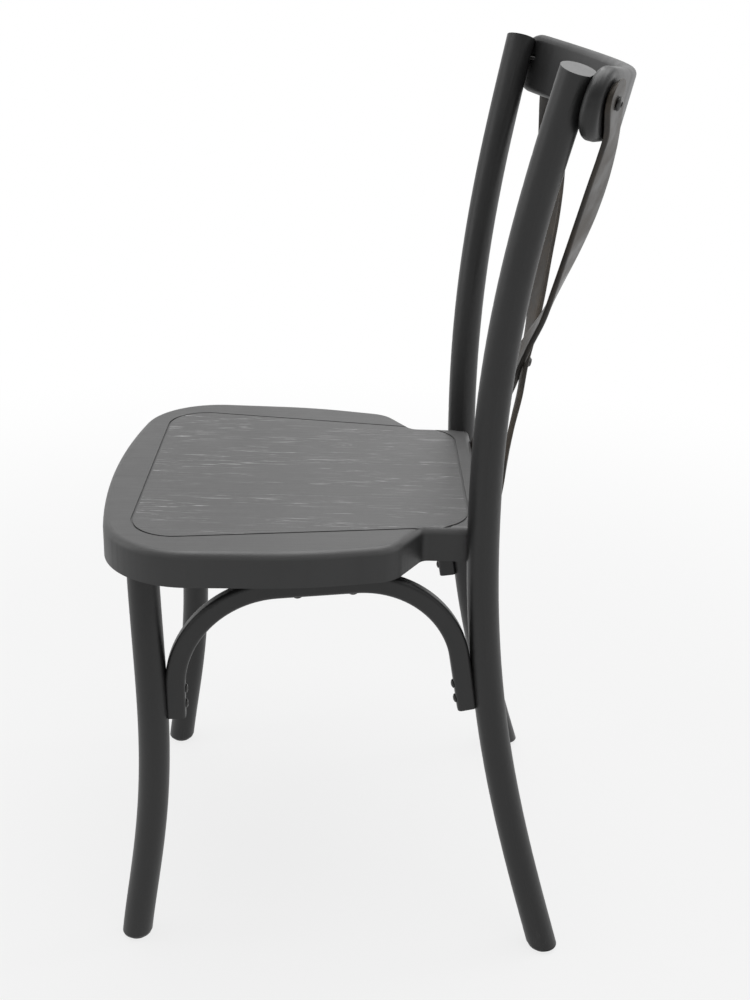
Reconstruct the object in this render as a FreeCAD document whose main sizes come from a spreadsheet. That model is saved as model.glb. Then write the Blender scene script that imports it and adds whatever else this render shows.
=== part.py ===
import FreeCAD, Part
import math
import os

import Sketcher
from FreeCAD import Placement, Rotation, Vector

doc = FreeCAD.newDocument("CrossBackChair")

# Driving dimensions in millimetres, or in degrees where the note says so.
# X is the sitter's left, Y runs from front to back, Z is up from the floor.
# Places named "ahead" lie in front of the origin, all others behind it.
# A level is a height measured from the seat's top, negative below it.
SIZES = [
    ("seatTopHeight", 455.5, "seat top above the floor"),
    ("seatDepth", 35.5, "height of the seat's skirt"),
    ("seatFront", 252.5, "middle of the front edge, ahead"),
    ("seatFrontRadius", 900, "bow of the front edge"),
    ("seatCornerSide", 223, "front corner of the outline, sideways"),
    ("seatCornerRadius", 88, "rounding of the front corners"),
    ("seatWaistSide", 217.5, "place where the side draws in, sideways"),
    ("seatWaistAhead", 46, "place where the side draws in, ahead"),
    ("seatWaistRadius", 400, "rounding at that place"),
    ("seatShoulderSide", 197, "rear shoulder, sideways"),
    ("seatShoulderDepth", 41, "rear shoulder"),
    ("seatShoulderRadius", 36, "rounding of the shoulder"),
    ("seatNeckSide", 147.5, "half width of the neck between the posts"),
    ("seatNeckDepth", 70, "start of the neck"),
    ("seatNeckRadius", 11, "hollow rounding where the neck starts"),
    ("seatRear", 135.5, "rear edge of the seat"),
    ("seatTopRounding", 7, "rounding of the upper edge"),
    ("seatWall", 4, "moulded wall of the seat"),
    ("ribThickness", 3, "stiffening ribs under the seat"),
    ("ribDepth", 30, "ribs below the seat's top"),
    ("ribPitch", 50, "spacing of the ribs"),
    ("grooveInset", 39.5, "decorative groove behind the front edge"),
    ("grooveFrontSide", 190, "groove at the front corners, sideways"),
    ("grooveRearSide", 143, "groove at the rear corners, sideways"),
    ("grooveRearInset", 19, "groove ahead of the rear edge"),
    ("grooveRadius", 43, "rounding of the groove's corners"),
    ("grooveWidth", 2.2, "width of the groove"),
    ("grooveDepth", 1.4, "depth of the groove"),
    ("postDiameter", 31.4, "rear post"),
    ("postFootSide", 201.7, "rear post at the floor glide, sideways"),
    ("postFootDepth", 213.1, "rear post at the floor glide"),
    ("postShinLevel", -305.5, "rear post, second station"),
    ("postShinSide", 172.3, "rear post, second station, sideways"),
    ("postShinDepth", 169.8, "rear post, second station"),
    ("postKneeLevel", -155.5, "rear post, third station"),
    ("postKneeSide", 157.4, "rear post, third station, sideways"),
    ("postKneeDepth", 140.2, "rear post, third station"),
    ("postHipLevel", 1.5, "rear post beside the seat"),
    ("postHipSide", 155, "rear post beside the seat, sideways"),
    ("postHipDepth", 127.6, "rear post beside the seat"),
    ("postWaistLevel", 144.5, "rear post, fifth station"),
    ("postWaistSide", 162.8, "rear post, fifth station, sideways"),
    ("postWaistDepth", 129.1, "rear post, fifth station"),
    ("postChestLevel", 294.5, "rear post, sixth station"),
    ("postChestSide", 181.9, "rear post, sixth station, sideways"),
    ("postChestDepth", 146.1, "rear post, sixth station"),
    ("postTopLevel", 433.5, "centre of the post's end face"),
    ("postTopSide", 211.2, "centre of the post's end face, sideways"),
    ("postTopDepth", 173.6, "centre of the post's end face"),
    ("postTopLean", 18.5, "lean of the end face in degrees"),
    ("postTopAim", 50, "direction of that lean from straight back in degrees"),
    ("legDiameter", 31, "front leg"),
    ("legFootSide", 192.4, "front leg at the floor glide, sideways"),
    ("legFootAhead", 215.6, "front leg at the floor glide"),
    ("legShinLevel", -355.5, "front leg, second station"),
    ("legShinSide", 190.1, "front leg, second station, sideways"),
    ("legShinAhead", 201.9, "front leg, second station"),
    ("legKneeLevel", -255.5, "front leg, third station"),
    ("legKneeSide", 186.6, "front leg, third station, sideways"),
    ("legKneeAhead", 192.9, "front leg, third station"),
    ("legThighLevel", -125.5, "front leg, fourth station"),
    ("legThighSide", 179.1, "front leg, fourth station, sideways"),
    ("legThighAhead", 195.3, "front leg, fourth station"),
    ("legCollarSide", 170.2, "front leg at the socket's collar, sideways"),
    ("legCollarAhead", 199.9, "front leg at the socket's collar"),
    ("legTopSide", 169, "front leg in its socket, sideways"),
    ("legTopAhead", 200.6, "front leg in its socket"),
    ("footRounding", 3, "rounding around each foot"),
    ("socketWall", 4.5, "wall of the leg socket under the seat"),
    ("socketDrop", 4, "socket collar below the skirt"),
    ("archWidth", 20, "side arch, in its own plane"),
    ("archThickness", 16, "side arch, across its plane"),
    ("archRounding", 4.5, "rounding along the arch"),
    ("archSide", 170, "middle of the arch, sideways"),
    ("archAhead", 25, "middle of the arch, ahead"),
    ("archTurn", 4.3, "turn of the arch in plan in degrees"),
    ("archFrontReach", 145.5, "front foot from the arch's middle"),
    ("archFrontLevel", -195.5, "lower end at the front leg"),
    ("archRearReach", 147.3, "rear foot from the arch's middle"),
    ("archRearLevel", -191.5, "lower end at the rear post"),
    ("archRearLean", 10.5, "lean of the rear foot in degrees"),
    ("archTopLevel", -52.6, "centreline above the arch's middle"),
    ("archRise", 3.7, "slope of the arch's top in degrees"),
    ("archFrontRadius", 107, "centreline bend at the front"),
    ("archRearRadius", 101, "centreline bend at the rear"),
    ("bossDiameter", 14, "bosses that carry the arch screws under the seat"),
    ("railRadius", 480, "hollow front face of the top rail in plan"),
    ("railThickness", 16, "top rail"),
    ("railHalfLength", 235, "half of the rail's length"),
    ("railHeight", 61, "rail, lower to upper edge"),
    ("railAbovePosts", 8, "upper edge of the rail above the post ends"),
    ("railTilt", 12, "backward tilt of the rail in degrees"),
    ("railCorner", 28, "rounding of the rail's ends"),
    ("railRounding", 6.5, "rounding of the rail's long edges"),
    ("railHousing", 2, "depth of the flat in each post for the rail"),
    ("slatWidth", 31, "cross slat, across its run"),
    ("slatThickness", 6, "cross slat"),
    ("slatFootSide", 112, "centre of the slat's lower end, sideways"),
    ("slatTipSide", 216.8, "centre of the slat's upper end, sideways"),
    ("slatCrossDepth", 172.2, "crossing, between the two slats"),
    ("slatCrossGap", 0.5, "gap between the slats at the crossing"),
    ("slatCrossRun", 40, "straight run of the slats above and below the crossing"),
    ("slatCrossRise", 14, "backward lean of that run in degrees"),
    ("slatFootDrop", 18.5, "centre of the slat's lower end below the seat top"),
    ("slatTipDrop", 22, "centre of the slat's upper end below the post's end"),
    ("slatBendRise", 13, "start of the slat's backward swing above the seat top"),
    ("slatBendBack", 4.7, "slat behind the seat's rear edge there"),
    ("slatHeelDepth", 150.2, "slat where it has swung back"),
    ("slatHeelLevel", 41.5, "level of that place"),
    ("slatFlankDepth", 193.4, "slat below the middle of its upper half"),
    ("slatFlankLevel", 224.5, "level of that place"),
    ("slatFlankTurn", 13, "turn of the slat there in degrees"),
    ("slatBladeDepth", 201.2, "slat above the middle of its upper half"),
    ("slatBladeLevel", 279.5, "level of that place"),
    ("slatBladeTurn", 18.5, "turn of the slat there in degrees"),
    ("fitClearance", 0.2, "gap between pieces that seat on each other"),
    ("boreClearance", 0.2, "gap around a fastener in its hole"),
    ("socketClearance", 0.6, "gap around a front leg in its socket"),
    ("railScrewDrop", 25, "rail screw's head below the post's end"),
    ("railScrewDiameter", 6, "rail screw"),
    ("railScrewLength", 44, "rail screw"),
    ("railScrewHead", 12, "rail screw"),
    ("railScrewCrown", 3, "rail screw, height of the head"),
    ("crossScrewDiameter", 5, "screw through the crossing"),
    ("crossScrewHead", 11, "screw through the crossing"),
    ("crossScrewCrown", 2.4, "screw through the crossing, height of the head"),
    ("crossNutDiameter", 11, "cap nut behind the crossing"),
    ("crossNutHeight", 4, "cap nut behind the crossing"),
    ("slatScrewDiameter", 4, "screw at a slat's lower end"),
    ("slatScrewLength", 23, "screw at a slat's lower end"),
    ("slatScrewHead", 8.5, "screw at a slat's lower end"),
    ("slatScrewCrown", 2.2, "screw at a slat's lower end, height of the head"),
    ("archScrewDiameter", 4.5, "screws of the side arches"),
    ("archScrewLength", 36, "screws of the side arches"),
    ("archScrewHead", 9, "screws of the side arches"),
    ("archScrewCrown", 2.6, "screws of the side arches, height of the head"),
    ("archScrewLow", 13, "lower screw above the arch's lower end"),
    ("archScrewPitch", 17, "upper screw above the lower one"),
    ("archSeatSpread", 27, "screws into the seat from the arch's middle"),
    ("seatBoltDiameter", 8, "bolt from the seat into the rear post"),
    ("seatBoltLength", 50, "bolt from the seat into the rear post"),
    ("seatBoltHead", 13, "bolt from the seat into the rear post"),
    ("seatBoltCrown", 4, "bolt from the seat, height of the head"),
    ("seatBoltRise", 9, "seat bolt above the skirt's lower edge"),
    ("blockInner", 101, "inner face of the block that carries the seat bolt"),
    ("blockDepth", 26, "block ahead of the seat's rear edge"),
    ("blockRecess", 1.5, "block above the skirt's lower edge"),
    ("washerDiameter", 16, "washer under the seat bolt's head"),
    ("washerThickness", 1.6, "washer under the seat bolt's head"),
    ("insertDiameter", 12, "thread insert in the rear post"),
    ("insertLength", 12, "thread insert in the rear post"),
    ("insertRecess", 3, "insert below the post's surface"),
    ("legScrewDiameter", 5, "cross screw that locks a front leg"),
    ("legScrewLength", 20, "cross screw that locks a front leg"),
    ("legScrewHead", 9.5, "cross screw that locks a front leg"),
    ("legScrewCrown", 2.8, "cross screw, height of the head"),
    ("legScrewRise", 12, "cross screw above the skirt's lower edge"),
    ("driverRoom", 14, "free way in front of a screw's head"),
    ("glideDiameter", 24, "floor glide under each foot"),
    ("glideThickness", 2.5, "floor glide under each foot"),
    ("glidePinDiameter", 6, "pin of the floor glide"),
    ("glidePinLength", 14, "pin of the floor glide"),
    ("glideRounding", 1, "rounding of the floor glide"),
]

sheet = doc.addObject("Spreadsheet::Sheet", "Sizes")
for row, (alias, value, note) in enumerate(SIZES, start=1):
    sheet.set(f"A{row}", note)
    sheet.set(f"B{row}", str(value))
    sheet.setAlias(f"B{row}", alias)
doc.recompute()

LEFT, RIGHT = 1, -1
SIDES = {"left": LEFT, "right": RIGHT}
AXIS_X, AXIS_Y, AXIS_Z = Vector(1, 0, 0), Vector(0, 1, 0), Vector(0, 0, 1)
ORIGIN = Vector()
nodes = {}


def size(alias):
    return float(sheet.get(alias))


def evaluate(formula):
    result = sheet.evalExpression(formula)
    return float(getattr(result, "Value", result))


def node(label, feature):
    feature.Label = label
    nodes[label] = feature
    return feature


def bind(feature, formulas):
    for path, formula in formulas.items():
        feature.setExpression(path, formula)
    return feature


def new_body(name):
    return doc.addObject("PartDesign::Body", name)


def new_sketch(body, name, role="XY_Plane", offset=None, turn=None):
    """Sketch on one of the body's origin planes, shifted and turned by formulas."""
    sketch = body.newObject("Sketcher::SketchObject", name)
    plane = next(f for f in body.Origin.OriginFeatures if f.Role == role)
    sketch.AttachmentSupport = (plane, [""])
    sketch.MapMode = "FlatFace"
    if turn:
        axis, angle = turn
        sketch.AttachmentOffset = Placement(ORIGIN, Rotation(axis, evaluate(angle)))
        sketch.setExpression("AttachmentOffset.Rotation.Angle", f"({angle}) * 1deg")
    for axis_name, formula in (offset or {}).items():
        sketch.setExpression(f"AttachmentOffset.Base.{axis_name}", formula)
    return sketch


def constrain(sketch, *constraints):
    for constraint in constraints:
        sketch.addConstraint(Sketcher.Constraint(*constraint))


def dimension(sketch, kind, *place, formula):
    value = evaluate(formula)
    unit = ""
    if kind == "Angle":
        value = math.radians(value)
        unit = " * 1deg"
    index = sketch.addConstraint(Sketcher.Constraint(kind, *place, value))
    sketch.setExpression(f"Constraints[{index}]", f"({formula}){unit}")


def pin_point(sketch, geometry, end, across, along):
    dimension(sketch, "DistanceX", -1, 1, geometry, end, formula=across)
    dimension(sketch, "DistanceY", -1, 1, geometry, end, formula=along)


def polygon(sketch, corners):
    """Closed outline of straight sides; each corner is a pair of formulas."""
    points = [Vector(evaluate(across), evaluate(along), 0) for across, along in corners]
    count = len(points)
    for index in range(count):
        sketch.addGeometry(Part.LineSegment(points[index], points[(index + 1) % count]))
    for index in range(count):
        constrain(sketch, ("Coincident", index, 2, (index + 1) % count, 1))
        pin_point(sketch, index, 1, *corners[index])


def circle(sketch, diameter):
    sketch.addGeometry(Part.Circle(ORIGIN, AXIS_Z, evaluate(diameter) / 2))
    constrain(sketch, ("Coincident", 0, 3, -1, 1))
    dimension(sketch, "Diameter", 0, formula=diameter)


def pad(body, sketch, length, reverse=False):
    feature = body.newObject("PartDesign::Pad", f"{sketch.Name}Pad")
    feature.Profile = sketch
    feature.Reversed = reverse
    feature.setExpression("Length", length)
    body.Tip = feature
    doc.recompute()
    return feature


def edges_where(feature, test):
    return [f"Edge{i}" for i, edge in enumerate(feature.Shape.Edges, start=1) if test(edge)]


def runs_along(axis):
    def test(edge):
        ends = [vertex.Point for vertex in edge.Vertexes]
        if len(ends) < 2 or not isinstance(edge.Curve, Part.Line):
            return False
        return abs((ends[1] - ends[0]).normalize().dot(axis)) > 0.999
    return test


def level_at(height, tolerance=0.01):
    def test(edge):
        box = edge.BoundBox
        return abs(box.ZMin - height) < tolerance and abs(box.ZMax - height) < tolerance
    return test


def fillet(body, name, base, edges, radius):
    feature = body.newObject("PartDesign::Fillet", name)
    feature.Base = (base, edges)
    feature.setExpression("Radius", radius)
    body.Tip = feature
    doc.recompute()
    return feature


def combined(kind, name, base, tool):
    feature = doc.addObject(f"Part::{kind}", name)
    feature.Base = base
    feature.Tool = tool
    doc.recompute()
    return feature


def fused(name, features):
    feature = doc.addObject("Part::MultiFuse", name)
    feature.Shapes = features
    feature.Refine = True
    doc.recompute()
    return feature


def gathered(name, features):
    feature = doc.addObject("Part::Compound", name)
    feature.Links = features
    doc.recompute()
    return feature


def without(name, base, tools):
    """Base less all the tools, which may overlap one another."""
    return combined("Cut", name, base, fused(f"{name}Tools", tools))


# Round members: rear posts and front legs, lofted through circles.


def level(name):
    """Height of a place whose level is measured from the seat's top."""
    return f"(Sizes.seatTopHeight + Sizes.{name}Level)"


POST_TOP = level("postTop")
ARCH_TOP = level("archTop")


def station(stem, name, side, depth="Depth", height=None):
    """Formulas for the centre of one circle."""
    here = f"Sizes.{stem}{name}"
    sign = "-" if depth == "Ahead" else ""
    return f"{side} * {here}Side", f"{sign}{here}{depth}", height or level(stem + name)


def post_stations(side):
    middle = ("Shin", "Knee", "Hip", "Waist", "Chest", "Top")
    foot = station("post", "Foot", side, height="Sizes.glideThickness")
    return [foot] + [station("post", name, side) for name in middle]


SEAT_BOTTOM = "(Sizes.seatTopHeight - Sizes.seatDepth)"
COLLAR_BOTTOM = f"{SEAT_BOTTOM} - Sizes.socketDrop"
PLATE_UNDERSIDE = "Sizes.seatTopHeight - Sizes.seatWall"
PLATE_MIDDLE = "Sizes.seatTopHeight - Sizes.seatWall / 2"
LEG_TOP = f"{PLATE_UNDERSIDE} - Sizes.socketClearance"


def leg_stations(side):
    def at(name, height=None):
        return station("leg", name, side, "Ahead", height)
    ends = at("Foot", "Sizes.glideThickness"), at("Top", LEG_TOP)
    return [ends[0], at("Shin"), at("Knee"), at("Thigh"), at("Collar", COLLAR_BOTTOM), ends[1]]


def round_member(name, centres, diameter, end_turn=None):
    body = new_body(name)
    sections = []
    for index, (across, along, height) in enumerate(centres):
        is_last = index == len(centres) - 1
        offset = {"x": across, "y": along, "z": height}
        sketch = new_sketch(body, f"{name}Section{index}", offset=offset,
                            turn=end_turn if is_last else None)
        circle(sketch, diameter)
        sections.append(sketch)
    loft = body.newObject("PartDesign::AdditiveLoft", f"{name}Loft")
    loft.Profile = sections[0]
    loft.Sections = sections[1:]
    body.Tip = loft
    doc.recompute()
    return body


def grown(stem, extra):
    return f"Sizes.{stem}Diameter + 2 * ({extra})"


def make_post(name, side, extra="0"):
    aim = math.radians(size("postTopAim"))
    axis = Vector(-math.cos(aim), side * math.sin(aim), 0)
    turn = (axis, "Sizes.postTopLean")
    return round_member(name, post_stations(side), grown("post", extra), turn)


def make_leg(name, side, extra="0"):
    return round_member(name, leg_stations(side), grown("leg", extra))


def peg(name, side, radius, top):
    """Straight round form along the leg's end, from the socket's collar up to a height."""
    low = Vector(side * size("legCollarSide"), -size("legCollarAhead"), evaluate(COLLAR_BOTTOM))
    high = Vector(side * size("legTopSide"), -size("legTopAhead"), evaluate(LEG_TOP))
    feature = doc.addObject("Part::Cylinder", name)
    bind(feature, {"Radius": radius, "Height": f"({top}) - ({COLLAR_BOTTOM})"})
    feature.Placement = Placement(low, Rotation(AXIS_Z, high - low))
    return feature


def upright(name, side, radius):
    """Straight round form around the rear post, as high as the seat."""
    feature = doc.addObject("Part::Cylinder", name)
    return bind(feature, {
        "Radius": radius, "Height": f"{PLATE_MIDDLE} - {SEAT_BOTTOM}",
        "Placement.Base.x": f"{side} * Sizes.postHipSide",
        "Placement.Base.y": "Sizes.postHipDepth", "Placement.Base.z": SEAT_BOTTOM,
    })


# Fasteners: one turned blank for each kind, set where the chair needs it.


def turned(name, corners):
    """Solid of revolution about Z from its half outline in the XZ plane."""
    body = new_body(name)
    sketch = new_sketch(body, f"{name}Outline", "XZ_Plane")
    polygon(sketch, corners)
    feature = body.newObject("PartDesign::Revolution", f"{name}Turned")
    feature.Profile = sketch
    feature.ReferenceAxis = (sketch, ["V_Axis"])
    feature.Angle = 360
    body.Tip = feature
    doc.recompute()
    return body


def screw(name, length=None):
    """Head above the origin with a rounded-off crown, shank below it."""
    head, shank = f"Sizes.{name}Head / 2", f"Sizes.{name}Diameter / 2"
    crown = f"Sizes.{name}Crown"
    length = length or f"Sizes.{name}Length"
    return turned(name[0].upper() + name[1:], [
        ("0", crown), ("0", f"-({length})"), (shank, f"-({length})"), (shank, "0"),
        (head, "0"), (head, f"{crown} / 3"), (f"{head} * 0.85", f"{crown} * 0.7"),
        (f"{head} * 0.5", f"{crown} * 0.95"),
    ])


def ring(name, outer, inner, height):
    return turned(name, [(inner, "0"), (outer, "0"), (outer, height), (inner, height)])


def foot_rounding(name, stem):
    """Ring that takes the lower edge off a foot, as two steep cones."""
    radius, edge = f"Sizes.{stem}Diameter / 2", "Sizes.footRounding"
    base = "Sizes.glideThickness"
    top = f"{base} + 1.5 * {edge}"
    return turned(name, [
        (f"{radius} - {edge}", "0"), (f"{radius} - {edge}", base),
        (f"{radius} - 0.3 * {edge}", f"{base} + 0.3 * {edge}"),
        (f"{radius} + 0.2 * {edge}", top),
        (f"{radius} + 4 * {edge}", top), (f"{radius} + 4 * {edge}", "0"),
    ])


def copies_of(blank, places):
    copies = []
    for index, place in enumerate(places, start=1):
        copy = doc.addObject("App::Link", f"{blank.Name}Copy{index}")
        copy.LinkedObject = blank
        copy.LinkTransform = False
        copy.Placement = place
        copies.append(copy)
    return copies


def aimed(head, direction):
    """Placement at the seat of a head whose shank points along direction."""
    return Placement(head, Rotation(AXIS_Z, direction.negative()))


def set_of(label, blank, places):
    """One node that holds the blank at each of the places."""
    return node(label, gathered(f"{blank.Name}Set", copies_of(blank, places)))


def bores(name, radius, start, length, places):
    """Straight holes along the Z axis of each placement, from start upwards."""
    holes = []
    for index, place in enumerate(places, start=1):
        hole = doc.addObject("Part::Cylinder", f"{name}{index}")
        bind(hole, {"Radius": radius, "Height": length})
        hole.Placement = place.multiply(Placement(Vector(0, 0, evaluate(start)), Rotation()))
        holes.append(hole)
    return gathered(name, holes)


def shank_bores(name, kind, places, length=None):
    length = length or f"Sizes.{kind}Length"
    radius = f"Sizes.{kind}Diameter / 2 + Sizes.boreClearance"
    return bores(name, radius, f"-({length} + Sizes.boreClearance)",
                 f"{length} + 2 * Sizes.boreClearance", places)


def driver_bores(name, widest, start, places):
    """Free way in front of a head or its washer."""
    return bores(name, f"{widest} / 2 + 4 * Sizes.boreClearance", start,
                 f"Sizes.driverRoom - ({start})", places)


# Top rail: a curved board, hollow towards the sitter, tilted back with the posts.

RAIL_REACH = "(Sizes.railRadius - Sizes.postDiameter / 2 + Sizes.railHousing)"
RAIL_CENTRE = f"-sqrt({RAIL_REACH}^2 - Sizes.postTopSide^2)"
RAIL_BACK = "Sizes.railRadius + Sizes.railThickness"


def curved_board(name, inner, outer, half, bottom, height):
    """Band between two arcs about the rail's centre, with ends square to Y."""
    body = new_body(name)
    sketch = new_sketch(body, f"{name}Plan", offset={"z": bottom})
    centre = Vector(0, evaluate(RAIL_CENTRE), 0)
    arcs = []
    for radius in (evaluate(inner), evaluate(outer)):
        reach = math.asin(evaluate(half) / radius)
        straight_back = math.pi / 2
        full = Part.Circle(centre, AXIS_Z, radius)
        arcs.append(Part.ArcOfCircle(full, straight_back - reach, straight_back + reach))
    front, rear = (sketch.addGeometry(arc) for arc in arcs)
    first = sketch.addGeometry(Part.LineSegment(arcs[0].StartPoint, arcs[1].StartPoint))
    second = sketch.addGeometry(Part.LineSegment(arcs[1].EndPoint, arcs[0].EndPoint))
    constrain(
        sketch,
        ("Coincident", first, 1, front, 1), ("Coincident", first, 2, rear, 1),
        ("Coincident", second, 1, rear, 2), ("Coincident", second, 2, front, 2),
        ("Coincident", rear, 3, front, 3), ("PointOnObject", front, 3, -2),
        ("Symmetric", front, 1, front, 2, -2), ("Vertical", first), ("Vertical", second),
    )
    dimension(sketch, "DistanceY", -1, 1, front, 3, formula=RAIL_CENTRE)
    dimension(sketch, "Radius", front, formula=inner)
    dimension(sketch, "Radius", rear, formula=outer)
    dimension(sketch, "DistanceX", -1, 1, front, 1, formula=half)
    board = pad(body, sketch, height)
    body.Placement = Placement(ORIGIN, Rotation(AXIS_X.negative(), size("railTilt")))
    bind(body, {
        "Placement.Base.y": "Sizes.postTopDepth",
        "Placement.Base.z": POST_TOP,
        "Placement.Rotation.Angle": "Sizes.railTilt * 1deg",
    })
    return body, board


def make_rail():
    body, board = curved_board(
        "Rail", "Sizes.railRadius", RAIL_BACK, "Sizes.railHalfLength",
        "Sizes.railAbovePosts - Sizes.railHeight", "Sizes.railHeight")
    across = runs_along(AXIS_Y)
    corners = fillet(body, "RailCorners", board, edges_where(board, across), "Sizes.railCorner")
    rims = edges_where(corners, lambda edge: not across(edge))
    fillet(body, "RailRims", corners, rims, "Sizes.railRounding")
    return body


def make_rail_room():
    """Space that the rail and what lies behind it take from the posts."""
    body, _ = curved_board(
        "RailRoom", "Sizes.railRadius - Sizes.fitClearance",
        f"{RAIL_BACK} + Sizes.postDiameter",
        "Sizes.railHalfLength + Sizes.postDiameter",
        "Sizes.railAbovePosts - Sizes.railHeight - Sizes.fitClearance",
        "Sizes.railHeight + Sizes.postDiameter")
    return body


def rail_place():
    base = Vector(0, size("postTopDepth"), evaluate(POST_TOP))
    return Placement(base, Rotation(AXIS_X.negative(), size("railTilt")))


def behind_rail(side, gap, height):
    """Point at a height on a face parallel to the rail's back, and the way to the rail."""
    radius = evaluate(RAIL_BACK) + gap
    run = math.sqrt(radius ** 2 - side ** 2)
    back = evaluate(RAIL_CENTRE) + run
    tilt = math.radians(size("railTilt"))
    rise = (height - evaluate(POST_TOP) + back * math.sin(tilt)) / math.cos(tilt)
    place = rail_place()
    inward = place.Rotation.multVec(Vector(-side, -run, 0)).normalize()
    return place.multVec(Vector(side, back, rise)), inward


# Cross slats: thin strips that turn as they run from the rail down to the seat.

SLAT_FOOT = "(Sizes.seatTopHeight - Sizes.slatFootDrop)"
SLAT_TIP = f"({POST_TOP} - Sizes.slatTipDrop)"
SLAT_SPREAD = "(Sizes.slatFootSide + Sizes.slatTipSide)"
SLAT_CROSS = f"({SLAT_FOOT} + ({SLAT_TIP} - {SLAT_FOOT}) * Sizes.slatFootSide / {SLAT_SPREAD})"
SLAT_REST = "(Sizes.seatRear + Sizes.fitClearance + Sizes.slatThickness / 2)"


def slat_side(height):
    return f"(({height}) - {SLAT_CROSS}) * {SLAT_SPREAD} / ({SLAT_TIP} - {SLAT_FOOT})"


def slat_rail_station(height):
    radius = f"({RAIL_BACK} + 2 * Sizes.fitClearance + Sizes.slatThickness / 2)"
    side = f"({slat_side(height)})"
    back = f"({RAIL_CENTRE} + sqrt({radius}^2 - {side}^2))"
    tilt = "(Sizes.railTilt * 1deg)"
    rise = f"((({height}) - {POST_TOP}) / cos{tilt} + {back} * tan{tilt})"
    depth = f"Sizes.postTopDepth + {back} * cos{tilt} + {rise} * sin{tilt}"
    return height, depth, f"asin({side} / {radius}) / 1deg"


def slat_stations(layer):
    """Height, depth and turn of each section; layer is -1 in front, 1 behind."""
    pass_by = f"{layer} * (Sizes.slatThickness + Sizes.slatCrossGap) / 2"
    lean = "Sizes.slatCrossRun * tan(Sizes.slatCrossRise * 1deg)"
    crossing = f"Sizes.slatCrossDepth + {pass_by}"
    return [
        (f"{SLAT_FOOT} - Sizes.slatWidth", SLAT_REST, "0"),
        (f"{SLAT_FOOT} - Sizes.slatWidth / 2", SLAT_REST, "0"),
        (SLAT_FOOT, SLAT_REST, "0"),
        ("Sizes.seatTopHeight - Sizes.slatThickness", f"{SLAT_REST} + Sizes.fitClearance", "0"),
        ("Sizes.seatTopHeight + Sizes.slatBendRise", f"{SLAT_REST} + Sizes.slatBendBack", "0"),
        (level("slatHeel"), f"Sizes.slatHeelDepth + {pass_by} / 4", "0"),
        (f"{SLAT_CROSS} - Sizes.slatCrossRun", f"{crossing} - {lean}", "0"),
        (SLAT_CROSS, crossing, "0"),
        (f"{SLAT_CROSS} + Sizes.slatCrossRun", f"{crossing} + {lean}", "0.5"),
        (level("slatFlank"), f"Sizes.slatFlankDepth + {pass_by} / 3",
         "Sizes.slatFlankTurn"),
        (level("slatBlade"), "Sizes.slatBladeDepth", "Sizes.slatBladeTurn"),
        slat_rail_station(f"{SLAT_TIP} - 2 * Sizes.slatWidth"),
        slat_rail_station(f"{SLAT_TIP} - Sizes.slatWidth"),
        slat_rail_station(f"{SLAT_TIP}"),
        slat_rail_station(f"{SLAT_TIP} + Sizes.slatWidth"),
    ]


def slot_outline(sketch, ends, radius):
    """Two round ends about the given centres, joined by tangent sides."""
    first, second = (Vector(*(evaluate(value) for value in end), 0) for end in ends)
    half = evaluate(radius)
    run = (second - first).normalize()
    off = Vector(-run.y, run.x, 0) * half
    angle = math.atan2(off.y, off.x)
    near = Part.ArcOfCircle(Part.Circle(first, AXIS_Z, half), angle, angle + math.pi)
    far = Part.ArcOfCircle(Part.Circle(second, AXIS_Z, half), angle + math.pi, angle + 2 * math.pi)
    for geometry in (near, Part.LineSegment(first - off, second - off), far,
                     Part.LineSegment(second + off, first + off)):
        sketch.addGeometry(geometry)
    constrain(
        sketch,
        ("Tangent", 0, 2, 1, 1), ("Tangent", 1, 2, 2, 1),
        ("Tangent", 2, 2, 3, 1), ("Tangent", 3, 2, 0, 1), ("Equal", 0, 2),
    )
    pin_point(sketch, 0, 3, *ends[0])
    pin_point(sketch, 2, 3, *ends[1])
    dimension(sketch, "Radius", 0, formula=radius)


def make_slat(name, side, layer):
    """Common part of the twisted strip and the slot that it fills when seen from the front."""
    strip = new_body(f"{name}Strip")
    half_blank, half_thick = "Sizes.slatWidth", "Sizes.slatThickness / 2"
    sections = []
    for index, (height, depth, turn) in enumerate(slat_stations(layer)):
        offset = {"x": f"{side} * ({slat_side(height)})", "y": depth, "z": height}
        sketch = new_sketch(strip, f"{name}Section{index}", offset=offset,
                            turn=(Vector(0, 0, -side), turn))
        polygon(sketch, [
            (f"-{half_blank}", f"-{half_thick}"), (half_blank, f"-{half_thick}"),
            (half_blank, half_thick), (f"-{half_blank}", half_thick),
        ])
        sections.append(sketch)
    loft = strip.newObject("PartDesign::AdditiveLoft", f"{name}Loft")
    loft.Profile = sections[0]
    loft.Sections = sections[1:]
    strip.Tip = loft
    doc.recompute()

    view = new_body(f"{name}View")
    sketch = new_sketch(view, f"{name}Outline", "XZ_Plane",
                        offset={"z": "-(Sizes.slatBladeDepth + Sizes.railHeight)"})
    ends = [(f"{side} * ({slat_side(z)})", z) for z in (SLAT_FOOT, SLAT_TIP)]
    slot_outline(sketch, ends, "Sizes.slatWidth / 2")
    pad(view, sketch, "Sizes.slatBladeDepth")
    return combined("Common", f"{name}Blank", strip, view)


# Side arches: a bent bar from the front leg, under the seat and down to the rear post.


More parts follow.
